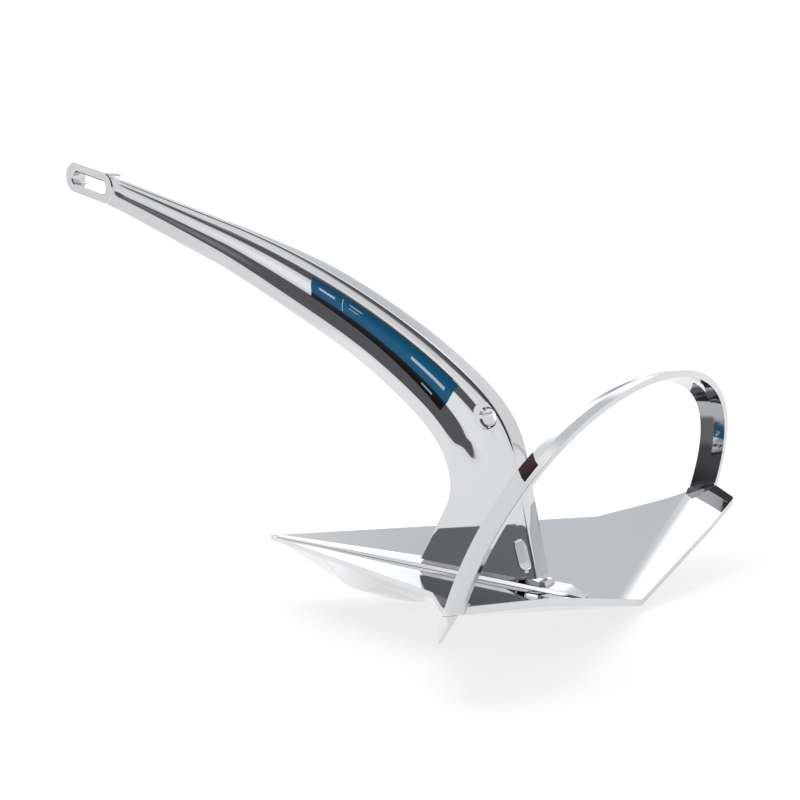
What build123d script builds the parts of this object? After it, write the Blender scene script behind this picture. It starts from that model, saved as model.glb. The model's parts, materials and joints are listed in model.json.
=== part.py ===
from build123d import *
import os
from math import atan2, cos, degrees, radians, sin, tan

os.makedirs("parts", exist_ok=True)

# Stance: the anchor stands on the keel under its toe and on the heel of its fluke.
pitch = 14.2                    # nose-up lean of the fluke's own level
shank_tilt = 2.2                # lean of the level from which the shank is drawn
heel_x = -334.573               # rear end of the fluke's centre line
heel_z = 8.52

# Fluke
plate = 5.0                     # steel plate of the scoop
toe_x = 465.0                   # toe, measured forward from the heel
toe_z = -51.3
valley_rise = 0.0914            # rise of the centre line toward the heel
wing_rise = 0.264               # rise of each panel toward its side
shoulder = (118.6, 129.4)       # where the side edge turns outward
wing_front = (54.7, 193.0)      # front of the wing tip
wing_rear = (34.0, 204.0)
heel_corner = (-8.0, 157.3)
heel_mid = (-8.0, 110.6)
corner_radius = 10.0
fold_x = 26.8                   # fold of the heel lip on the centre line
lip_angle = 18.0
lip_length = 75.0
bend_radius = 150.0

# Keel under the toe
keel_front = (340.9, -79.8)
keel_mid = (290.0, -78.2)
keel_rear = (234.0, -68.0)
keel_deadrise = 0.588

# Centre rib on top of the fluke
rib_height = 6.5
rib_half_top = 10.0
rib_half_base = 14.0
rib_tail = 26.0                 # stations along the centre line, from the fold
rib_full_rear = 46.0
rib_full_front = 214.0
rib_tip = 425.0
rib_tip_scale = 0.3

# Shank
flange = 20.0                   # thickness over the rear flange, boss and eye
web = 13.0
front_strip = 17.0
eye_front = (727.0, 515.0)
eye_rear = (663.0, 486.5)
eye_radius = 19.0
eye_slot_front = (723.0, 513.5)
eye_slot_rear = (667.5, 488.8)
eye_slot_radius = 8.0
boss_centre = (126.5, 165.0)
boss_radius = 13.0
boss_bore = 16.0
bore_centre = (122.4, 162.7)
foot_slot_centre = (109.3, 36.5)
foot_slot_length = 29.0
foot_slot_width = 14.0
foot_slot_lean = 84.0

# Roll bar: a band that flares toward the rear, a little thicker-set along its middle
hoop_lean = 15.5
hoop_foot = (53.7, 36.1)
hoop_width = 19.7
hoop_half = 197.0
hoop_top = 154.7
hoop_side_pull = (5.0, 101.4)   # inward and upward pull of the curve at a foot
hoop_top_pull = 104.7
hoop_wall = 6.0
hoop_flare = 12.1
hoop_ridge = 1.5
leg_below = 40.0
hoop_crown_growth = 0.7         # share of the flare by which the crown's pull widens

# Cutting shapes reach past every edge they trim
fluke_reach = 460.0
wing_reach = 300.0
far = 120.0

# Small parts
bead_front = 205.0              # stations along the centre line
bead_rear = 92.0
heel_bead = 68.0
heel_bead_size = (14.0, 19.0, 4.0)
heel_bead_radius = 4.0
heel_bead_taper = 30.0
label_corners = [(152.0, 194.0), (317.0, 320.0), (329.0, 302.0), (180.0, 173.5)]
label_top_mid = (237.0, 265.0)
label_bottom_mid = (251.5, 242.0)
sticker_low = 106.0             # height of the sticker up the port leg, in the hoop's plane
sticker_high = 116.5
sticker_width = 13.8
skid_tip = (54.1, 15.1)
skid_front = (62.0, 60.0)
skid_rear = (24.0, 60.0)
weld_leg = 3.5
bar_weld_leg = 4.0
bar_weld_line = [(60.0, 30.0), (60.0, 42.0), (25.0, 53.0), (25.0, 30.0)]
label_thick = 0.8
sticker_thick = 0.6

lean = radians(pitch)
deck = Plane(origin=(heel_x, 0, heel_z), x_dir=(cos(lean), 0, sin(lean)), z_dir=(-sin(lean), 0, cos(lean)))
deck_side = Plane(origin=(heel_x, 0, heel_z), x_dir=(cos(lean), 0, sin(lean)), z_dir=(0, -1, 0))
tilt = radians(shank_tilt)
side = Plane(origin=(heel_x, 0, heel_z), x_dir=(cos(tilt), 0, sin(tilt)), z_dir=(0, -1, 0))


def on_panel(x, y):
    z = toe_z + (toe_x - x) * valley_rise + y * wing_rise
    return deck.from_local_coords(Vector(x, y, z))


toe = on_panel(toe_x, 0)
fold_centre = on_panel(fold_x, 0)
fold_tip = on_panel(*wing_front)
fold_dir = (fold_tip - fold_centre).normalized()
valley_dir = (toe - fold_centre).normalized()
panel_up = valley_dir.cross(fold_dir).normalized()
panel_fore = fold_dir.cross(panel_up).normalized()
bend_plane = Plane(origin=fold_centre, x_dir=panel_fore, z_dir=fold_dir * -1)
panel_top = Plane(origin=fold_centre, x_dir=panel_fore, z_dir=panel_up)
panel_under = panel_top.offset(-plate)

half_bend = radians(lip_angle / 2)


def bend_line(depth):
    """Edge of the bent plate in its section, a given depth below the top surface."""
    angle = radians(lip_angle)
    corner = (-depth * tan(half_bend), -depth)
    end = (-lip_length * cos(angle) - depth * sin(angle), lip_length * sin(angle) - depth * cos(angle))
    return FilletPolyline((fluke_reach, -depth), corner, end, radius=bend_radius + depth)


# Everything lower than the underside of the port panel and its lip
with BuildPart() as under_plate:
    with BuildSketch(bend_plane):
        with BuildLine():
            base_edge = bend_line(plate)
            Polyline(base_edge @ 1, (-lip_length, -far), (fluke_reach, -far), base_edge @ 0)
        make_face()
    extrude(amount=wing_reach, both=True)

# Everything higher than the underside of the port panel and its lip
with BuildPart() as over_deck:
    with BuildSketch(bend_plane):
        with BuildLine():
            low_edge = bend_line(plate)
            Polyline(low_edge @ 1, (-fluke_reach, far), (fluke_reach, far), low_edge @ 0)
        make_face()
    extrude(amount=wing_reach, both=True)

# Leaning hoop of ridged band, with legs running on below the wings
hoop_angle = radians(hoop_lean)
hoop_normal = deck.from_local_coords(Vector(cos(hoop_angle), 0, sin(hoop_angle))) - deck.origin
hoop_origin = deck.from_local_coords(Vector(hoop_foot[0], 0, hoop_foot[1]))
hoop_front = Plane(origin=hoop_origin, x_dir=(0, 1, 0), z_dir=hoop_normal)


def hoop_solid(wall):
    """Solid hoop set in by a wall, flaring from its front edge to its rear edge."""
    middle = hoop_flare / 2 + hoop_ridge
    with BuildPart() as body:
        for back, outset in ((0, 0), (hoop_width / 2, middle), (hoop_width, hoop_flare)):
            grow = outset - wall
            half = hoop_half + grow
            top = hoop_top + grow
            side_pull = half - hoop_side_pull[0]
            top_pull = hoop_top_pull + hoop_crown_growth * grow
            with BuildSketch(hoop_front.offset(-back)):
                with BuildLine():
                    right = Bezier((half, 0), (side_pull, hoop_side_pull[1]), (top_pull, top), (0, top))
                    left = Bezier((0, top), (-top_pull, top), (-side_pull, hoop_side_pull[1]), (-half, 0))
                    Polyline(left @ 1, (-half, -leg_below), (half, -leg_below), right @ 0)
                make_face()
        loft(ruled=True)
    return body.part


with BuildPart() as band:
    add(hoop_solid(0))
    add(hoop_solid(hoop_wall), mode=Mode.SUBTRACT)

with BuildPart() as fluke_port:
    with BuildSketch(bend_plane):
        with BuildLine():
            upper = bend_line(0)
            lower = bend_line(plate)
            Line(upper @ 0, lower @ 0)
            Line(upper @ 1, lower @ 1)
        make_face()
    extrude(amount=wing_reach, both=True)
    with BuildSketch(deck) as plan:
        with BuildLine():
            Polyline((0, 0), (toe_x, 0), shoulder, wing_front, wing_rear, heel_corner, heel_mid, close=True)
        make_face()
        tip_corners = plan.vertices().sort_by_distance(deck.from_local_coords(Vector(*heel_corner, 0)))
        fillet(tip_corners[0], radius=corner_radius)
    extrude(amount=wing_reach, both=True, mode=Mode.INTERSECT)
    add(band.part, mode=Mode.SUBTRACT)
fluke_port.part.label = "fluke_port"
export_step(fluke_port.part, "parts/fluke_port.step")

with BuildPart() as fluke_starboard:
    mirror(fluke_port.part, about=Plane.XZ)
fluke_starboard.part.label = "fluke_starboard"
export_step(fluke_starboard.part, "parts/fluke_starboard.step")

# Solid hull under the toe, closed by two flanks, a rounded keel and a sloping transom
keel_point = deck.from_local_coords(Vector(keel_front[0], 0, keel_front[1]))
shoulder_point = on_panel(*shoulder)
flank_out = (keel_point - toe).cross(shoulder_point - toe).normalized()
flank = Plane(origin=toe, z_dir=flank_out)
step_plane = Plane(origin=keel_point, z_dir=deck.x_dir)
keel_heel = deck.from_local_coords(Vector(keel_rear[0], 0, keel_rear[1]))
transom_out = (shoulder_point - keel_heel).cross(Vector(0, 1, 0)).normalized()
transom = Plane(origin=keel_heel, z_dir=transom_out)
keel_side = Vector(0, 1, 0) + deck.z_dir * keel_deadrise

with BuildPart() as half_hull:
    with BuildSketch(deck_side):
        with BuildLine():
            Line((toe_x, toe_z - far), (toe_x, far))
            Polyline((toe_x, far), (0, far), (0, keel_rear[1]), keel_rear)
            ThreePointArc(keel_rear, keel_mid, keel_front)
            Polyline(keel_front, (keel_front[0], toe_z - far), (toe_x, toe_z - far))
        make_face()
    extrude(amount=wing_reach, dir=keel_side)
    split(bisect_by=panel_under, keep=Keep.BOTTOM)
    split(bisect_by=flank, keep=Keep.BOTTOM)
    split(bisect_by=transom, keep=Keep.BOTTOM)

with BuildPart() as toe_nose:
    add(half_hull.part)
    split(bisect_by=step_plane, keep=Keep.TOP)
    mirror(about=Plane.XZ)
toe_nose.part.label = "toe_nose"
export_step(toe_nose.part, "parts/toe_nose.step")

with BuildPart() as keel_ballast:
    add(half_hull.part)
    split(bisect_by=step_plane, keep=Keep.BOTTOM)
    mirror(about=Plane.XZ)
keel_ballast.part.label = "keel_ballast"
export_step(keel_ballast.part, "parts/keel_ballast.step")

# Centre rib lying in the valley between the panels
valley_slope = -panel_up.Y / panel_up.dot(valley_dir.cross(Vector(0, 1, 0)))


def valley_plane(station):
    return Plane(origin=fold_centre + valley_dir * station, x_dir=(0, 1, 0), z_dir=valley_dir)


def rib_section(scale):
    base = rib_half_base * scale
    top = rib_half_top * scale
    crown = rib_height * scale
    foot = base * valley_slope
    Polygon((0, 0), (base, foot), (top, crown), (-top, crown), (-base, foot), align=None)


with BuildPart() as centre_rib:
    with BuildSketch(valley_plane(rib_tail)):
        rib_section(rib_tip_scale)
    with BuildSketch(valley_plane(rib_full_rear)):
        rib_section(1)
    with BuildSketch(valley_plane(rib_full_front)):
        rib_section(1)
    with BuildSketch(valley_plane(rib_tip)):
        rib_section(rib_tip_scale)
    loft(ruled=True)
centre_rib.part.label = "centre_rib"
export_step(centre_rib.part, "parts/centre_rib.step")

# Shank: a thick rear flange, boss and eye, a thinner web and a front strip
valley_up = valley_dir.cross(Vector(0, 1, 0))
rib_top = Plane(origin=fold_centre + valley_up * rib_height, x_dir=valley_dir, z_dir=valley_up)

back_top = (718.8, 532.1)
back_straight = (429.0, 396.0)
back_curve = [back_straight, (330.0, 344.0), (231.0, 280.0), (145.0, 208.0), (109.0, 162.0), (99.2, 118.0)]
back_foot = (95.2, -6.0)
front_foot = (248.0, 13.0)
front_knee = (192.0, 80.0)
front_straight = (462.0, 354.0)
front_curve = [front_knee, (181.5, 107.0), (187.0, 134.0), (225.0, 185.0), (281.0, 234.0), (346.0, 279.0),
               (408.0, 320.0), front_straight]
front_top = (671.0, 470.0)

flange_top = (640.0, 490.5)
flange_curve = [flange_top, (551.0, 447.5), (482.0, 413.5), (419.0, 381.5), (333.0, 334.5), (236.0, 270.0),
                (153.0, 199.0), (119.0, 157.0), (110.0, 118.0)]
flange_foot = (105.0, -6.0)
strip_tip = (164.0, 108.0)
strip_knee = (186.0, 84.0)
strip_foot = (232.0, 25.0)
strip_curve = [strip_tip, (168.0, 140.0), (202.0, 184.0), (256.0, 233.0), (343.0, 295.0), (428.0, 350.0),
               (558.0, 428.0), (640.0, 470.0)]


def shank_back():
    Line(back_top, back_straight)
    lower = Spline(*back_curve)
    Line(lower @ 1, back_foot)


def shank_front():
    Line(front_foot, front_knee)
    upper_run = Spline(*front_curve)
    Line(upper_run @ 1, front_top)


def capsule(start, end, radius):
    run = Vector(*end) - Vector(*start)
    middle = (Vector(*end) + Vector(*start)) * 0.5
    with Locations(middle):
        SlotCenterToCenter(run.length, radius * 2, rotation=degrees(atan2(run.Y, run.X)))


with BuildPart() as shank:
    with BuildSketch(side):
        with BuildLine():
            shank_back()
            Line(back_foot, front_foot)
            shank_front()
            Line(front_top, back_top)
        make_face()
    extrude(amount=web / 2, both=True)
    with BuildSketch(side):
        with BuildLine():
            shank_back()
            Line(back_foot, flange_foot)
            inner_run = Spline(*flange_curve)
            Line(inner_run @ 1, flange_foot)
            Line(flange_top, back_top)
        make_face()
        with Locations(boss_centre):
            Circle(boss_radius)
        capsule(eye_front, eye_rear, eye_radius)
    extrude(amount=flange / 2, both=True)
    with BuildSketch(side):
        with BuildLine():
            shank_front()
            strip_run = Spline(*strip_curve)
            Line(strip_run @ 1, front_top)
            Polyline(strip_tip, strip_knee, strip_foot, front_foot)
        make_face()
    extrude(amount=front_strip / 2, both=True)
    split(bisect_by=rib_top, keep=Keep.TOP)
    with BuildSketch(side):
        capsule(eye_slot_front, eye_slot_rear, eye_slot_radius)
        with Locations(bore_centre):
            Circle(boss_bore / 2)
        with Locations(foot_slot_centre):
            SlotOverall(foot_slot_length, foot_slot_width, rotation=foot_slot_lean)
    extrude(amount=flange, both=True, mode=Mode.SUBTRACT)
shank.part.label = "shank"
export_step(shank.part, "parts/shank.step")

# Roll bar, cut off level with the underside of the wings
with BuildPart() as roll_bar:
    add(band.part)
    add(under_plate.part, mode=Mode.SUBTRACT)
    mirror(under_plate.part, about=Plane.XZ, mode=Mode.SUBTRACT)
roll_bar.part.label = "roll_bar"
export_step(roll_bar.part, "parts/roll_bar.step")

# Skids: the legs carried on below the wing tips to a point
with BuildPart() as skid_port:
    with BuildSketch(deck_side):
        Polygon(skid_front, skid_tip, skid_rear, align=None)
    extrude(amount=-wing_reach)
    add(band.part, mode=Mode.INTERSECT)
    add(over_deck.part, mode=Mode.SUBTRACT)
skid_port.part.label = "skid_port"
export_step(skid_port.part, "parts/skid_port.step")

with BuildPart() as skid_starboard:
    mirror(skid_port.part, about=Plane.XZ)
skid_starboard.part.label = "skid_starboard"
export_step(skid_starboard.part, "parts/skid_starboard.step")

# Weld beads: along both sides of the shank's foot, behind it, and inside the feet of the roll bar
with BuildPart() as shank_weld_port:
    with BuildSketch(valley_plane(bead_rear)):
        edge = web / 2
        Polygon((edge, rib_height), (rib_half_top, rib_height), (edge, rib_height + weld_leg), align=None)
    extrude(amount=bead_front - bead_rear)
    add(shank.part, mode=Mode.SUBTRACT)
shank_weld_port.part.label = "shank_weld_port"
export_step(shank_weld_port.part, "parts/shank_weld_port.step")

with BuildPart() as shank_weld_starboard:
    mirror(shank_weld_port.part, about=Plane.XZ)
shank_weld_starboard.part.label = "shank_weld_starboard"
export_step(shank_weld_starboard.part, "parts/shank_weld_starboard.step")

with BuildPart() as shank_weld_heel:
    with BuildSketch(rib_top):
        with Locations((heel_bead, 0)):
            RectangleRounded(heel_bead_size[0], heel_bead_size[1], heel_bead_radius)
    extrude(amount=heel_bead_size[2], taper=heel_bead_taper)
    add(shank.part, mode=Mode.SUBTRACT)
shank_weld_heel.part.label = "shank_weld_heel"
export_step(shank_weld_heel.part, "parts/shank_weld_heel.step")

with BuildPart() as bar_weld_port:
    with BuildSketch(deck_side):
        with BuildLine():
            Polyline(*bar_weld_line, close=True)
        make_face()
    extrude(amount=-wing_reach)
    add(hoop_solid(hoop_wall), mode=Mode.INTERSECT)
    add(hoop_solid(hoop_wall + bar_weld_leg), mode=Mode.SUBTRACT)
    add(fluke_port.part, mode=Mode.SUBTRACT)
    add(under_plate.part, mode=Mode.SUBTRACT)
bar_weld_port.part.label = "bar_weld_port"
export_step(bar_weld_port.part, "parts/bar_weld_port.step")

with BuildPart() as bar_weld_starboard:
    mirror(bar_weld_port.part, about=Plane.XZ)
bar_weld_starboard.part.label = "bar_weld_starboard"
export_step(bar_weld_starboard.part, "parts/bar_weld_starboard.step")

# Thin adhesive labels in the shank's grooves, and a small sticker on the port leg of the roll bar
label_face = side.offset(-web / 2)
with BuildPart() as label_port:
    with BuildSketch(label_face):
        with BuildLine():
            Spline(label_corners[0], label_top_mid, label_corners[1])
            Line(label_corners[1], label_corners[2])
            Spline(label_corners[2], label_bottom_mid, label_corners[3])
            Line(label_corners[3], label_corners[0])
        make_face()
    extrude(amount=-label_thick)
label_port.part.label = "label_port"
export_step(label_port.part, "parts/label_port.step")

with BuildPart() as label_starboard:
    mirror(label_port.part, about=Plane.XZ)
label_starboard.part.label = "label_starboard"
export_step(label_starboard.part, "parts/label_starboard.step")

with BuildPart() as bar_sticker:
    add(hoop_solid(-sticker_thick))
    add(hoop_solid(0), mode=Mode.SUBTRACT)
    with BuildSketch(hoop_front):
        with Locations((hoop_half, (sticker_low + sticker_high) / 2)):
            Rectangle(hoop_half, sticker_high - sticker_low)
    extrude(amount=-sticker_width, mode=Mode.INTERSECT)
bar_sticker.part.label = "bar_sticker"
export_step(bar_sticker.part, "parts/bar_sticker.step")
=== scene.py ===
"""Looks of a roll-bar scoop anchor in mirror-polished stainless steel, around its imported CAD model."""

import json
from math import cos, pi, radians, sin

import bmesh
import bpy
from mathutils import Matrix, Vector
from mathutils.bvhtree import BVHTree


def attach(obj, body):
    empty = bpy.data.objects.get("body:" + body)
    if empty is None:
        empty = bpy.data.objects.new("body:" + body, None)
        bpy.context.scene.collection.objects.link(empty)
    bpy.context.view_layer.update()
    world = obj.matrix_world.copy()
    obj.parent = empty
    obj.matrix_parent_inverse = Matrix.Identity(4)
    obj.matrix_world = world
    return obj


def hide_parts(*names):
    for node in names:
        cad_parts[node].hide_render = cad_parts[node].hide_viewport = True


MM = 0.001
SAME_POINT = 1e-6

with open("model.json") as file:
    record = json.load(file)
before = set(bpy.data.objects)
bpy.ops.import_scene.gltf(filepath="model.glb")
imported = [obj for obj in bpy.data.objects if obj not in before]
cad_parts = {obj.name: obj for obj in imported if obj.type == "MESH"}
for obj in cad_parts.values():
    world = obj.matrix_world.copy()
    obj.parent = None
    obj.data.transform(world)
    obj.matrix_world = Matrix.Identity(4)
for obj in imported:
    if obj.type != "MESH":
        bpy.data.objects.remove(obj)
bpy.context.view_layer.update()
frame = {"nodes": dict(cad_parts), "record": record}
nodes = frame["nodes"]
mounts = {m["name"]: Vector(m["pos_m"]) for m in frame["record"]["mounts"]}


# Materials

def new_material(name):
    material = bpy.data.materials.new(name)
    material.use_nodes = True
    tree = material.node_tree
    return material, tree, tree.nodes["Principled BSDF"]


def noise(tree, coords, scale, detail=3.0):
    node = tree.nodes.new("ShaderNodeTexNoise")
    node.inputs["Scale"].default_value = scale
    node.inputs["Detail"].default_value = detail
    tree.links.new(coords, node.inputs["Vector"])
    return node.outputs["Fac"]


def ranged(tree, value, low, high, start=0.3, end=0.7):
    node = tree.nodes.new("ShaderNodeMapRange")
    for socket, number in (("From Min", start), ("From Max", end), ("To Min", low), ("To Max", high)):
        node.inputs[socket].default_value = number
    tree.links.new(value, node.inputs["Value"])
    return node.outputs["Result"]


def mixed(tree, factor, first, second):
    """Mix of two colours, each a colour or a socket."""
    node = tree.nodes.new("ShaderNodeMix")
    node.data_type = "RGBA"
    tree.links.new(factor, node.inputs["Factor"])
    for socket, colour in ((node.inputs[6], first), (node.inputs[7], second)):
        if isinstance(colour, bpy.types.NodeSocket):
            tree.links.new(colour, socket)
        else:
            socket.default_value = (*colour, 1.0)
    return node.outputs[2]


def bumped(tree, shader, height, strength, distance):
    node = tree.nodes.new("ShaderNodeBump")
    node.inputs["Strength"].default_value = strength
    node.inputs["Distance"].default_value = distance
    tree.links.new(height, node.inputs["Height"])
    tree.links.new(node.outputs["Normal"], shader.inputs["Normal"])


def object_coords(tree):
    return tree.nodes.new("ShaderNodeTexCoord").outputs["Object"]


TONE_SCALE, HAZE_SCALE, WAVE_SCALE = 9.0, 55.0, 16.0
WAVE_HEIGHT = 1 * MM


def steel(name, light, dark, smooth, dull, wave):
    """Steel with a faint drift between two tones, haze in the gloss and a slight waviness."""
    material, tree, shader = new_material(name)
    coords = object_coords(tree)
    shader.inputs["Metallic"].default_value = 1.0
    tone = ranged(tree, noise(tree, coords, TONE_SCALE), 0.0, 1.0)
    tree.links.new(mixed(tree, tone, dark, light), shader.inputs["Base Color"])
    haze = ranged(tree, noise(tree, coords, HAZE_SCALE, 6.0), smooth, dull)
    tree.links.new(haze, shader.inputs["Roughness"])
    bumped(tree, shader, noise(tree, coords, WAVE_SCALE, 1.0), wave, WAVE_HEIGHT)
    return material


polished = steel("polished_steel", light=(0.68, 0.685, 0.695), dark=(0.63, 0.635, 0.645),
                 smooth=0.02, dull=0.055, wave=0.04)
weld_metal = steel("weld_metal", light=(0.66, 0.66, 0.66), dark=(0.52, 0.52, 0.53),
                   smooth=0.10, dull=0.24, wave=0.6)


# Shank: stations across the arm give its edges, and a section with a smooth groove is laid between them

# Middle of the arm (x, z) and the direction across it toward the back edge, in degrees, foot first
ARM = [(-0.1628, 0.0191, 187), (-0.1911, 0.0761, 180), (-0.1999, 0.1238, 173), (-0.1923, 0.1621, 160),
       (-0.1636, 0.1952, 143), (-0.1215, 0.2449, 132), (-0.0576, 0.3015, 124.5), (0.0225, 0.3525, 119),
       (0.1055, 0.4037, 117), (0.2086, 0.4577, 115.3), (0.2870, 0.5008, 115.3), (0.3095, 0.5155, 115.3)]
STEPS = 9                       # stations from one of these to the next
REACH = 0.30                    # rays that look for an edge start this far out
MISSED = REACH - 0.03           # what a ray that finds nothing counts as
EDGE_ROUND = 2.2 * MM
GROOVED_ROWS = 11               # rows of ARM that cross the groove; the rest cross the solid eye
BOSS_ROW = 3                    # its flange is hidden by the boss
EYE_FADE = (0.900, 0.925)       # where the groove runs out below the eye, along the arm
FOOT_FADE = (0.27, 0.20)        # where it runs out into the flat web of the foot
FULL_GROOVE = 30 * MM           # a groove this wide has its full depth
DEPTH_POWER = 1.2               # how fast a narrower one loses depth

# Rays inside the CAD's groove, from PROBE_SHARE of the way across, find its flange and its front strip
PROBE_SHARE = 0.33
PROBE_HALF = 8.0 * MM
FLANGE_SHARES = (0.10, 0.20)    # least and most that the flange may take of the width
STRIP_SHARES = (0.12, 0.42)     # the same for the front strip

# Half thicknesses
FLANGE_HALF = 10.0 * MM
STEP_HALF = 7.6 * MM            # foot of the step beside the flange
CROWN_HALF = 8.9 * MM
HOLLOW_HALF = 5.2 * MM
STRIP_HALF = 8.5 * MM
STRIP_FALL = 0.16               # slope of the front strip toward the front edge
FOOT_HALF = 7.0 * MM
FOOT_STEP = 1.5 * MM            # width of the step from the flange down to the foot's web
EYE_HALF = 8.8 * MM             # the arm runs into the eye a little thinner and narrower than it
EYE_INSET = 0.35 * MM

# Places across the groove, as shares of its width
STEP_END, CROWN_END, HOLLOW_END = 0.05, 0.24, 0.62
RISE = (0.60, 1.02)
# Points along a ring: across the flange, across each part of the groove, across the strip, round each edge
FLANGE_POINTS, STRIP_POINTS, EDGE_POINTS = 3, 4, 5
GROOVE_PARTS = [(0, STEP_END, 6), (STEP_END, CROWN_END, 8),
                (CROWN_END, HOLLOW_END, 14), (HOLLOW_END, 1.0, 14)]

# Eye plate, boss and holes
EYE_LEAN = radians(26.2)
EYE_SLOT_HALF = 30.4 * MM       # from the slot's middle to the centre of either end
EYE_REAR, EYE_FRONT = 35.0 * MM, 34.3 * MM
EYE_RADIUS = 18.7 * MM
HOLE_RADIUS = 8 * MM            # of the eye's slot and of the bore
BOSS_SHIFT = Vector((4.1, 0, 2.3)) * MM     # from the bore's centre to the boss's
BOSS_RADIUS = 12.9 * MM
PLATE_CHAMFER, SLOT_CHAMFER, HOLE_CHAMFER = 1.2 * MM, 1.4 * MM, 1.8 * MM
FOOT_SLOT_LEAN = radians(86.2)
FOOT_SLOT_HALF = 7.5 * MM
FOOT_RADIUS = 7 * MM
FOOT_CUT_HALF = 8 * MM
CUT_OVER = 3 * MM               # how far a cutter reaches past the faces
SMOOTH_ANGLE = radians(38)

shank_mesh = nodes["shank"].data
shank_points = [v.co for v in shank_mesh.vertices]
shank_tree = BVHTree.FromPolygons(shank_points, [p.vertices for p in shank_mesh.polygons])


def curve_point(rows, t):
    """Catmull-Rom value at t, counted in rows."""
    i = min(int(t), len(rows) - 2)
    u = t - i
    around = (rows[min(max(k, 0), len(rows) - 1)] for k in (i - 1, i, i + 1, i + 2))
    values = []
    for a, b, c, d in zip(*around):
        bend = (2 * a - 5 * b + 4 * c - d) * u * u
        twist = (3 * b - a - 3 * c + d) * u ** 3
        values.append(0.5 * (2 * b + (c - a) * u + bend + twist))
    return values


def hit(origin, direction, default):
    found = shank_tree.ray_cast(origin, direction, REACH)
    return found[3] if found[0] is not None else default


def smooth(x):
    x = min(max(x, 0.0), 1.0)
    return x * x * (3 - 2 * x)


def across_of(angle):
    return Vector((cos(radians(angle)), 0, sin(radians(angle))))


def outline(x, z, angle):
    """Distances from a point of the arm to its back and front edges."""
    across, middle = across_of(angle), Vector((x, 0, z))
    back = REACH - hit(middle + across * REACH, -across, MISSED)
    front = REACH - hit(middle - across * REACH, across, MISSED)
    return back, front


def clamped(value, limits):
    return min(max(value, limits[0]), limits[1])


def step_shares(row):
    """Widths of the flange and of the front strip, as shares of the arm's width."""
    back, front = outline(*row)
    across, width = across_of(row[2]), back + front
    inset = PROBE_SHARE * width
    start = Vector((row[0], PROBE_HALF, row[1])) + across * (back - inset)
    flange = inset - hit(start, across, inset)
    strip = width - inset - hit(start, -across, width - inset)
    return clamped(flange / width, FLANGE_SHARES), clamped(strip / width, STRIP_SHARES)


def smoothed_shares():
    """Step shares of every row, with the boss's row bridged and each evened out against its neighbours."""
    shares = [step_shares(row) for row in ARM[:GROOVED_ROWS]]
    shares[BOSS_ROW] = [(a + b) / 2 for a, b in zip(shares[BOSS_ROW - 1], shares[BOSS_ROW + 1])]
    triples = zip(shares, shares[1:], shares[2:])
    shares[1:-1] = [[(a + 2 * b + c) / 4 for a, b, c in zip(*rows)] for rows in triples]
    return shares + [shares[-1]] * (len(ARM) - GROOVED_ROWS)


SHARES = smoothed_shares()


def wave(u, start, end, low, high):
    return low + (high - low) * smooth((u - start) / (end - start))


def groove(u):
    """Half thickness across a full groove: step down, low crown, hollow and rise to the front strip."""
    if u < STEP_END:
        return wave(u, 0, STEP_END, FLANGE_HALF, STEP_HALF)
    if u < CROWN_END:
        quarter_turn = pi / 2 * (u - STEP_END) / (CROWN_END - STEP_END)
        return STEP_HALF + (CROWN_HALF - STEP_HALF) * sin(quarter_turn)
    if u < HOLLOW_END:
        return wave(u, CROWN_END, HOLLOW_END, CROWN_HALF, HOLLOW_HALF)
    return wave(u, *RISE, HOLLOW_HALF, STRIP_HALF)


def half_thickness(s, width, shares, eye, foot):
    """Half the arm's thickness at a distance s from its back edge.

    eye and foot go from 0 to 1 where the groove runs out at either end.
    """
    flange_end, strip_start = width * shares[0], width * (1 - shares[1])
    across = strip_start - flange_end
    if s <= flange_end:
        grooved = FLANGE_HALF
    elif s < strip_start:
        full = groove((s - flange_end) / across)
        depth = min(1.0, across / FULL_GROOVE) ** DEPTH_POWER
        line = FLANGE_HALF + (STRIP_HALF - FLANGE_HALF) * (s - flange_end) / across
        grooved = line + (full - line) * depth
    else:
        grooved = STRIP_HALF - (s - strip_start) * STRIP_FALL
    flat = FLANGE_HALF + (FOOT_HALF - FLANGE_HALF) * smooth((s - flange_end) / FOOT_STEP)
    grooved += (flat - grooved) * foot
    return grooved + (EYE_HALF - grooved) * eye


def section_places(width, shares):
    """Distances from the back edge at which a ring has its points."""
    turns = [k * pi / 2 / EDGE_POINTS for k in range(EDGE_POINTS)]
    flange_end, strip_start = width * shares[0], width * (1 - shares[1])
    across = strip_start - flange_end
    places = [EDGE_ROUND * (1 - cos(a)) for a in turns]
    places += [EDGE_ROUND + (flange_end - EDGE_ROUND) * k / FLANGE_POINTS for k in range(FLANGE_POINTS)]
    for start, end, count in GROOVE_PARTS:
        places += [flange_end + across * (start + (end - start) * k / count) for k in range(count)]
    strip = width - EDGE_ROUND - strip_start
    places += [strip_start + strip * k / STRIP_POINTS for k in range(STRIP_POINTS)]
    return places + [width - EDGE_ROUND * (1 - cos(a)) for a in [pi / 2, *reversed(turns)]]


def arm_at(t):
    """Middle, direction across, distance to the back edge, width, step shares and the two fades.

    t runs from 0 at the foot to 1 at the eye.
    """
    place = t * (len(ARM) - 1)
    x, z, angle = curve_point(ARM, place)
    back, front = outline(x, z, angle)
    eye = smooth((t - EYE_FADE[0]) / (EYE_FADE[1] - EYE_FADE[0]))
    foot = smooth((t - FOOT_FADE[0]) / (FOOT_FADE[1] - FOOT_FADE[0]))
    return Vector((x, 0, z)), across_of(angle), back, back + front, curve_point(SHARES, place), eye, foot


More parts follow.
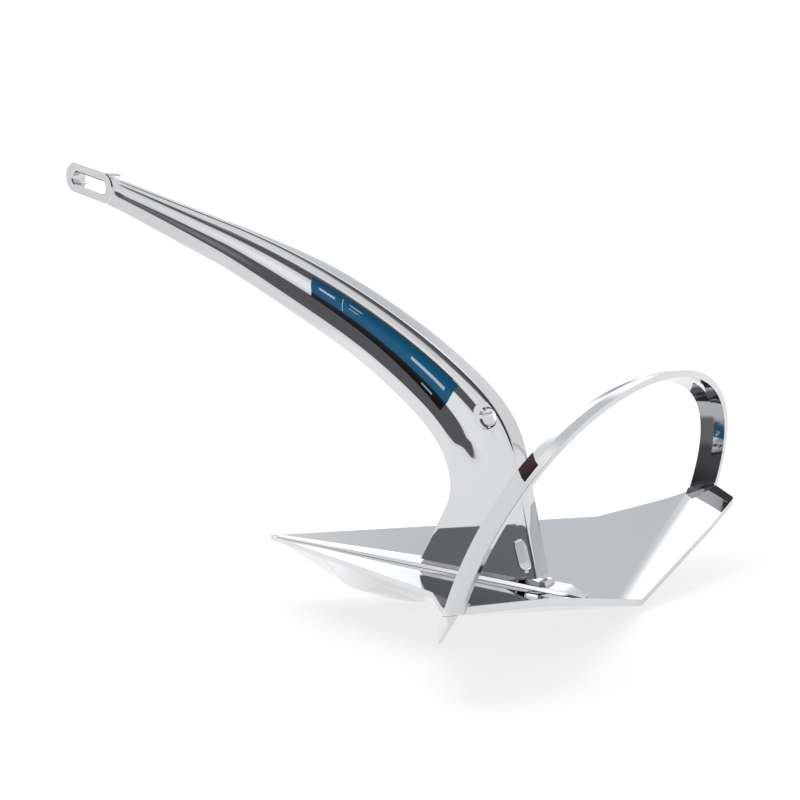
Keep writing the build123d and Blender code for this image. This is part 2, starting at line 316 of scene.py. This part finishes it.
def station(t):
    """Points of one ring across the arm, port side and starboard side."""
    middle, across, back, width, shares, eye, foot = arm_at(t)
    back, width = back - EYE_INSET * eye, width - 2 * EYE_INSET * eye
    ring = []
    for s in section_places(width, shares):
        half = half_thickness(s, width, shares, eye, foot)
        near = min(s, width - s)
        if near < EDGE_ROUND:
            half -= EDGE_ROUND - (EDGE_ROUND ** 2 - (EDGE_ROUND - near) ** 2) ** 0.5
        ring.append((middle + across * (back - s), half))
    return [p + Vector((0, h, 0)) for p, h in ring] + [p - Vector((0, h, 0)) for p, h in reversed(ring)]


def lofted(name, rings):
    """Closed mesh through rings of equal length, capped at both ends."""
    bm = bmesh.new()
    rows = [[bm.verts.new(p) for p in ring] for ring in rings]
    size = len(rows[0])
    for a, b in zip(rows, rows[1:]):
        for k in range(size):
            bm.faces.new((a[k], a[(k + 1) % size], b[(k + 1) % size], b[k]))
    bm.faces.new(rows[0][::-1])
    bm.faces.new(rows[-1])
    bmesh.ops.remove_doubles(bm, verts=bm.verts, dist=SAME_POINT)
    bmesh.ops.recalc_face_normals(bm, faces=bm.faces)
    mesh = bpy.data.meshes.new(name)
    bm.to_mesh(mesh)
    bm.free()
    piece = bpy.data.objects.new(name, mesh)
    bpy.context.scene.collection.objects.link(piece)
    return piece


def slot_ring(start, end, radius, y, steps=24):
    """Ring of a slot's outline, or of a circle where both centres are the same, at one y."""
    run = end - start
    axis = run.normalized() if run.length > SAME_POINT else Vector((1, 0, 0))
    side = Vector((-axis.z, 0, axis.x))
    ring = []
    for centre, turn in ((end, -pi / 2), (start, pi / 2)):
        for k in range(steps + 1):
            a = turn + k * pi / steps
            ring.append(centre + axis * radius * cos(a) + side * radius * sin(a) + Vector((0, y, 0)))
    return ring


def slot_solid(name, start, end, levels):
    """Solid through slot outlines, each a (y, radius)."""
    return lofted(name, [slot_ring(start, end, radius, y) for y, radius in levels])


def bool_apply(piece, other, operation):
    modifier = piece.modifiers.new("cut", "BOOLEAN")
    modifier.operation, modifier.solver, modifier.object = operation, "EXACT", other
    graph = bpy.context.evaluated_depsgraph_get()
    mesh = bpy.data.meshes.new_from_object(piece.evaluated_get(graph))
    piece.modifiers.clear()
    piece.data = mesh
    bpy.data.objects.remove(other)


def plate_levels(radius, chamfer):
    """Levels of a plate as thick as the flange, with chamfered rims."""
    half, narrow = FLANGE_HALF, radius - chamfer
    return [(-half, narrow), (-half + chamfer, radius), (half - chamfer, radius), (half, narrow)]


def hole_levels(half, radius, chamfer):
    """Levels of a cutter for a hole whose rims are chamfered."""
    wide = radius + chamfer
    return [(-half - CUT_OVER, wide), (-half, wide), (-half + chamfer, radius),
            (half - chamfer, radius), (half, wide), (half + CUT_OVER, wide)]


def make_shank():
    total = STEPS * (len(ARM) - 1)
    arm = lofted("shank_body", [station(k / total) for k in range(total + 1)])
    eye, bore, foot = (mounts[name] for name in ("shackle_eye", "trip_line_bore", "foot_slot"))
    boss = bore + BOSS_SHIFT
    along_eye = Vector((cos(EYE_LEAN), 0, sin(EYE_LEAN)))
    along_foot = Vector((cos(FOOT_SLOT_LEAN), 0, sin(FOOT_SLOT_LEAN))) * FOOT_SLOT_HALF
    plate_ends = (eye - along_eye * EYE_REAR, eye + along_eye * EYE_FRONT)
    slot_ends = (eye - along_eye * EYE_SLOT_HALF, eye + along_eye * EYE_SLOT_HALF)
    foot_ends = (foot - along_foot, foot + along_foot)
    for name, ends, levels, operation in (
            ("eye_plate", plate_ends, plate_levels(EYE_RADIUS, PLATE_CHAMFER), "UNION"),
            ("boss", (boss, boss), plate_levels(BOSS_RADIUS, PLATE_CHAMFER), "UNION"),
            ("eye_cut", slot_ends, hole_levels(FLANGE_HALF, HOLE_RADIUS, SLOT_CHAMFER), "DIFFERENCE"),
            ("bore_cut", (bore, bore), hole_levels(FLANGE_HALF, HOLE_RADIUS, HOLE_CHAMFER), "DIFFERENCE"),
            ("foot_cut", foot_ends, hole_levels(FOOT_CUT_HALF, FOOT_RADIUS, HOLE_CHAMFER), "DIFFERENCE")):
        bool_apply(arm, slot_solid(name, *ends, levels), operation)
    arm.data.shade_smooth()
    arm.data.set_sharp_from_angle(angle=SMOOTH_ANGLE)
    arm.data.materials.append(polished)
    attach(arm, "root")
    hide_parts("shank")


make_shank()


# Printed films: a strip laid in the groove on each side, with its own u along it and v across it

LABEL_ROWS, LABEL_COLUMNS = 60, 14
LABEL_LIFT, LABEL_FILM = 0.25 * MM, 0.2 * MM    # height above the steel, and thickness
LABEL_SEARCH = [k / 400 for k in range(80, 330)]    # places along the arm where a label may end
NEAR_ARM = 0.06                 # a point farther than this from a station counts as off it
LABEL_SMOOTH_ANGLE = radians(50)
BLUE_LOW, BLUE_UP, BLACK = (0.0, 0.125, 0.265), (0.0, 0.100, 0.235), (0.008, 0.008, 0.010)
WARM_LINE, PRINT = (0.10, 0.045, 0.03), (0.55, 0.68, 0.74)
BLACK_BAND = (0.75, 1.0)        # v
WARM_BAND = (0.0, 0.03)
# Plain bars where print would be: u from, u to, v from, v to
BARS = [(0.800, 0.804, 0.14, 0.70), (0.06, 0.34, 0.34, 0.46), (0.12, 0.22, 0.86, 0.90),
        (0.68, 0.76, 0.20, 0.24), (0.70, 0.76, 0.36, 0.39), (0.85, 0.95, 0.30, 0.40)]


def label_material():
    """Blue film with a black band along its front edge and a thin warm line along its back edge."""
    material, tree, shader = new_material("label_film")
    uv = tree.nodes.new("ShaderNodeSeparateXYZ")
    tree.links.new(tree.nodes.new("ShaderNodeUVMap").outputs["UV"], uv.inputs[0])
    u, v = uv.outputs["X"], uv.outputs["Y"]

    def window(value, low, high):
        step = tree.nodes.new("ShaderNodeMath")
        step.operation = "COMPARE"
        step.inputs[1].default_value = (low + high) / 2
        step.inputs[2].default_value = (high - low) / 2
        tree.links.new(value, step.inputs[0])
        return step.outputs[0]

    def both(first, second):
        product = tree.nodes.new("ShaderNodeMath")
        product.operation = "MULTIPLY"
        tree.links.new(first, product.inputs[0])
        tree.links.new(second, product.inputs[1])
        return product.outputs[0]

    shader.inputs["Specular IOR Level"].default_value = 0.12
    colour = mixed(tree, u, BLUE_LOW, BLUE_UP)
    colour = mixed(tree, window(v, *BLACK_BAND), colour, BLACK)
    colour = mixed(tree, window(v, *WARM_BAND), colour, WARM_LINE)
    for u_low, u_high, v_low, v_high in BARS:
        bar = both(window(u, u_low, u_high), window(v, v_low, v_high))
        colour = mixed(tree, bar, colour, PRINT)
    tree.links.new(colour, shader.inputs["Base Color"])
    coords = object_coords(tree)
    tree.links.new(ranged(tree, noise(tree, coords, 120.0), 0.38, 0.50), shader.inputs["Roughness"])
    bumped(tree, shader, noise(tree, coords, 260.0), 0.05, 0.0003)
    return material


def label_end(back_corner, front_corner):
    """t along the arm, and the shares across it, of one end of a label."""
    centre = (back_corner + front_corner) / 2
    t = min(LABEL_SEARCH, key=lambda place: off_station(centre, place))
    middle, across, back, width = arm_at(t)[:4]
    return t, [(back - (corner - middle).dot(across)) / width for corner in (back_corner, front_corner)]


def off_station(point, t):
    """How far along the arm a point is from the station at t, with more for one that is far away."""
    middle, across = arm_at(t)[:2]
    along = Vector((-across.z, 0, across.x))
    return abs((point - middle).dot(along)) + max(0.0, (point - middle).length - NEAR_ARM)


def film_points(node, side):
    """Points of the outer and the inner sheet, each with its (u, v), in rows along the film."""
    flat = [Vector((v.co.x, 0, v.co.z)) for v in nodes[node].data.vertices]
    low_back, up_front = min(flat, key=lambda p: p.x), max(flat, key=lambda p: p.x)
    low_front, up_back = min(flat, key=lambda p: p.z), max(flat, key=lambda p: p.z)
    (t0, low), (t1, up) = label_end(low_back, low_front), label_end(up_back, up_front)
    sheets = []
    for level in (0, LABEL_FILM):
        sheet = []
        for i in range(LABEL_ROWS + 1):
            u = i / LABEL_ROWS
            middle, across, back, width, shares, eye, foot = arm_at(t0 + (t1 - t0) * u)
            start, end = (low[k] + (up[k] - low[k]) * u for k in (0, 1))
            row = []
            for j in range(LABEL_COLUMNS + 1):
                v = j / LABEL_COLUMNS
                s = width * (start + (end - start) * v)
                half = half_thickness(s, width, shares, eye, foot) + LABEL_LIFT - level
                row.append((middle + across * (back - s) + Vector((0, side * half, 0)), (u, v)))
            sheet.append(row)
        sheets.append(sheet)
    return sheets


def film_quads(outer, inner):
    """Faces of both sheets and of the four edges between them."""
    quads = []
    for i in range(LABEL_ROWS):
        for j in range(LABEL_COLUMNS):
            for g in (outer, inner):
                quads.append((g[i][j], g[i + 1][j], g[i + 1][j + 1], g[i][j + 1]))
        for j in (0, LABEL_COLUMNS):
            quads.append((outer[i][j], outer[i + 1][j], inner[i + 1][j], inner[i][j]))
    for j in range(LABEL_COLUMNS):
        for i in (0, LABEL_ROWS):
            quads.append((outer[i][j], outer[i][j + 1], inner[i][j + 1], inner[i][j]))
    return quads


def make_label(node, side, material):
    bm = bmesh.new()
    uv_layer = bm.loops.layers.uv.new("UVMap")
    places = {}
    grids = []
    for sheet in film_points(node, side):
        grid = []
        for row in sheet:
            verts = [bm.verts.new(point) for point, place in row]
            places.update(zip(verts, (place for point, place in row)))
            grid.append(verts)
        grids.append(grid)
    for quad in film_quads(*grids):
        for loop in bm.faces.new(quad).loops:
            loop[uv_layer].uv = places[loop.vert]
    bmesh.ops.recalc_face_normals(bm, faces=bm.faces)
    mesh = bpy.data.meshes.new(node + "_film")
    bm.to_mesh(mesh)
    bm.free()
    mesh.shade_smooth()
    mesh.set_sharp_from_angle(angle=LABEL_SMOOTH_ANGLE)
    mesh.materials.append(material)
    film = bpy.data.objects.new(node + "_film", mesh)
    bpy.context.scene.collection.objects.link(film)
    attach(film, "root")
    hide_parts(node)


label_film = label_material()
for node, side in (("label_port", 1), ("label_starboard", -1)):
    make_label(node, side, label_film)


STICKER_RED, STICKER_DARK = (0.035, 0.004, 0.004), (0.012, 0.010, 0.010)


def sticker_material():
    """Dark film with a dark red middle."""
    material, tree, shader = new_material("sticker_film")
    shader.inputs["Specular IOR Level"].default_value = 0.1
    coords = tree.nodes.new("ShaderNodeTexCoord").outputs["Generated"]
    centred = tree.nodes.new("ShaderNodeVectorMath")
    centred.operation = "DISTANCE"
    centred.inputs[1].default_value = (0.5, 0.5, 0.5)
    tree.links.new(coords, centred.inputs[0])
    rim = ranged(tree, centred.outputs["Value"], 0.0, 1.0, 0.40, 0.44)
    colour = mixed(tree, rim, STICKER_RED, STICKER_DARK)
    tree.links.new(colour, shader.inputs["Base Color"])
    tree.links.new(ranged(tree, noise(tree, coords, 40.0), 0.40, 0.50), shader.inputs["Roughness"])
    return material


# CAD pieces that stay: rounded edges and steel

WELD_DISTANCE = 0.01 * MM
FLAT_ANGLE = radians(0.6)       # faces this close to one plane are joined
BEND_ANGLE = 28                 # degrees at which an edge is rounded
RIDGE_ANGLE = 9                 # the same on the roll bar, whose ridge is shallow


def finish_cad(name, material, bevel, angle=BEND_ANGLE):
    """Give a CAD node its material, round its edges and even out its shading."""
    piece = nodes[name]
    weld = piece.modifiers.new("weld", "WELD")
    weld.merge_threshold = WELD_DISTANCE
    flat = piece.modifiers.new("flat", "DECIMATE")
    flat.decimate_type, flat.angle_limit = "DISSOLVE", FLAT_ANGLE
    edge = piece.modifiers.new("edge", "BEVEL")
    edge.width, edge.segments, edge.limit_method, edge.angle_limit = bevel, 3, "ANGLE", radians(angle)
    edge.use_clamp_overlap = True
    even = piece.modifiers.new("even", "WEIGHTED_NORMAL")
    even.weight, even.keep_sharp = 50, False
    piece.data.materials.clear()
    piece.data.materials.append(material)


for name in ("fluke_port", "fluke_starboard", "keel_ballast", "toe_nose"):
    finish_cad(name, polished, 0.9 * MM)
finish_cad("roll_bar", polished, 0.7 * MM, RIDGE_ANGLE)
for name in ("centre_rib", "skid_port", "skid_starboard"):
    finish_cad(name, polished, 0.6 * MM)
for name in nodes:
    if "weld" in name:
        finish_cad(name, weld_metal, 0.5 * MM)
finish_cad("bar_sticker", sticker_material(), 0.1 * MM)


# Stage: a pale floor and a white studio with bright, grey and dark areas, the dark ones on the camera's side

FLOOR_SIZE = 120
FLOOR_DROP = 0.5 * MM
FLOOR_TONE, FLOOR_GLOW = 0.45, 0.64
ROOM_COLOUR = (0.95, 0.95, 0.96)
# Areas of the studio: direction, cosines at which the area starts and is full, colour. Later ones lie on top.
ROOM_AREAS = [((0.0, -0.2, 1.0), 0.80, 0.97, (1.7, 1.7, 1.7)),
              ((0.30, -0.55, 0.78), 0.90, 0.97, (0.76, 0.78, 0.80)),
              ((0.66, -0.68, 0.32), 0.94, 0.985, (1.8, 1.8, 1.8)),
              ((-0.25, 0.85, 0.45), 0.47, 0.57, (0.13, 0.127, 0.132)),
              ((-0.30, 0.93, 0.20), 0.80, 0.97, (0.045, 0.045, 0.05)),
              ((0.48, 0.52, 0.71), 0.955, 0.985, (0.27, 0.275, 0.28)),
              ((0.68, -0.73, 0.06), 0.95, 0.985, (0.38, 0.39, 0.41))]
BACKDROP_STRENGTH = 1.05
# Name, place, target, size and power
LIGHTS = [("overhead", (0.3, -0.6, 2.4), (0, 0, 0.1), 1.8, 14),
          ("front", (2.2, 0.8, 1.2), (0, 0, 0.2), 1.2, 8)]
LENS, SENSOR = 44.42, 36
CAMERA_PLACE = (-0.7606, 0.7085, 0.2363)
CAMERA_RIGHT = (-0.7274, -0.6611, -0.1841)
CAMERA_FORWARD = (0.6770, -0.7352, -0.0346)
CLIP_END = 500


def make_floor():
    bpy.ops.mesh.primitive_plane_add(size=FLOOR_SIZE, location=(0, 0, -FLOOR_DROP))
    floor = bpy.context.object
    floor.name = "floor"
    material, tree, shader = new_material("floor_white")
    shader.inputs["Base Color"].default_value = (FLOOR_TONE, FLOOR_TONE, FLOOR_TONE, 1)
    shader.inputs["Roughness"].default_value = 0.9
    shader.inputs["Emission Color"].default_value = (1, 1, 1, 1)
    shader.inputs["Emission Strength"].default_value = FLOOR_GLOW
    floor.data.materials.append(material)


def toward(tree, coords, direction, start, end):
    """0 to 1 as the looked-at direction nears the given one."""
    dot = tree.nodes.new("ShaderNodeVectorMath")
    dot.operation = "DOT_PRODUCT"
    dot.inputs[1].default_value = Vector(direction).normalized()
    tree.links.new(coords, dot.inputs[0])
    node = tree.nodes.new("ShaderNodeMapRange")
    node.interpolation_type = "SMOOTHSTEP"
    node.inputs["From Min"].default_value = start
    node.inputs["From Max"].default_value = end
    tree.links.new(dot.outputs["Value"], node.inputs["Value"])
    return node.outputs["Result"]


def make_world():
    """The studio lights and is reflected; the camera itself sees a plain white backdrop."""
    world = bpy.data.worlds.new("studio")
    bpy.context.scene.world = world
    world.use_nodes = True
    tree = world.node_tree
    coords = tree.nodes.new("ShaderNodeTexCoord").outputs["Generated"]
    room = ROOM_COLOUR
    for direction, start, full, colour in ROOM_AREAS:
        room = mixed(tree, toward(tree, coords, direction, start, full), room, colour)
    background = tree.nodes["Background"]
    tree.links.new(room, background.inputs["Color"])
    white = tree.nodes.new("ShaderNodeBackground")
    white.inputs["Color"].default_value = (1, 1, 1, 1)
    white.inputs["Strength"].default_value = BACKDROP_STRENGTH
    mix = tree.nodes.new("ShaderNodeMixShader")
    tree.links.new(tree.nodes.new("ShaderNodeLightPath").outputs["Is Camera Ray"], mix.inputs[0])
    tree.links.new(background.outputs[0], mix.inputs[1])
    tree.links.new(white.outputs[0], mix.inputs[2])
    tree.links.new(mix.outputs[0], tree.nodes["World Output"].inputs["Surface"])


def area_light(name, position, target, size, power):
    data = bpy.data.lights.new(name, "AREA")
    data.size, data.energy = size, power
    light = bpy.data.objects.new(name, data)
    light.location = position
    light.visible_glossy = False
    light.rotation_euler = (Vector(target) - Vector(position)).to_track_quat("-Z", "Y").to_euler()
    bpy.context.scene.collection.objects.link(light)


def make_camera():
    data = bpy.data.cameras.new("camera")
    data.lens, data.sensor_width = LENS, SENSOR
    data.clip_end = CLIP_END
    camera = bpy.data.objects.new("camera", data)
    bpy.context.scene.collection.objects.link(camera)
    right = Vector(CAMERA_RIGHT).normalized()
    forward = Vector(CAMERA_FORWARD)
    forward = (forward - right * forward.dot(right)).normalized()
    up = right.cross(forward)
    turn = Matrix((right, up, -forward)).transposed()
    camera.matrix_world = Matrix.Translation(CAMERA_PLACE) @ turn.to_4x4()
    bpy.context.scene.camera = camera


make_floor()
make_world()
for light in LIGHTS:
    area_light(*light)
make_camera()
bpy.context.scene.view_settings.view_transform = "Standard"

bpy.context.view_layer.update()
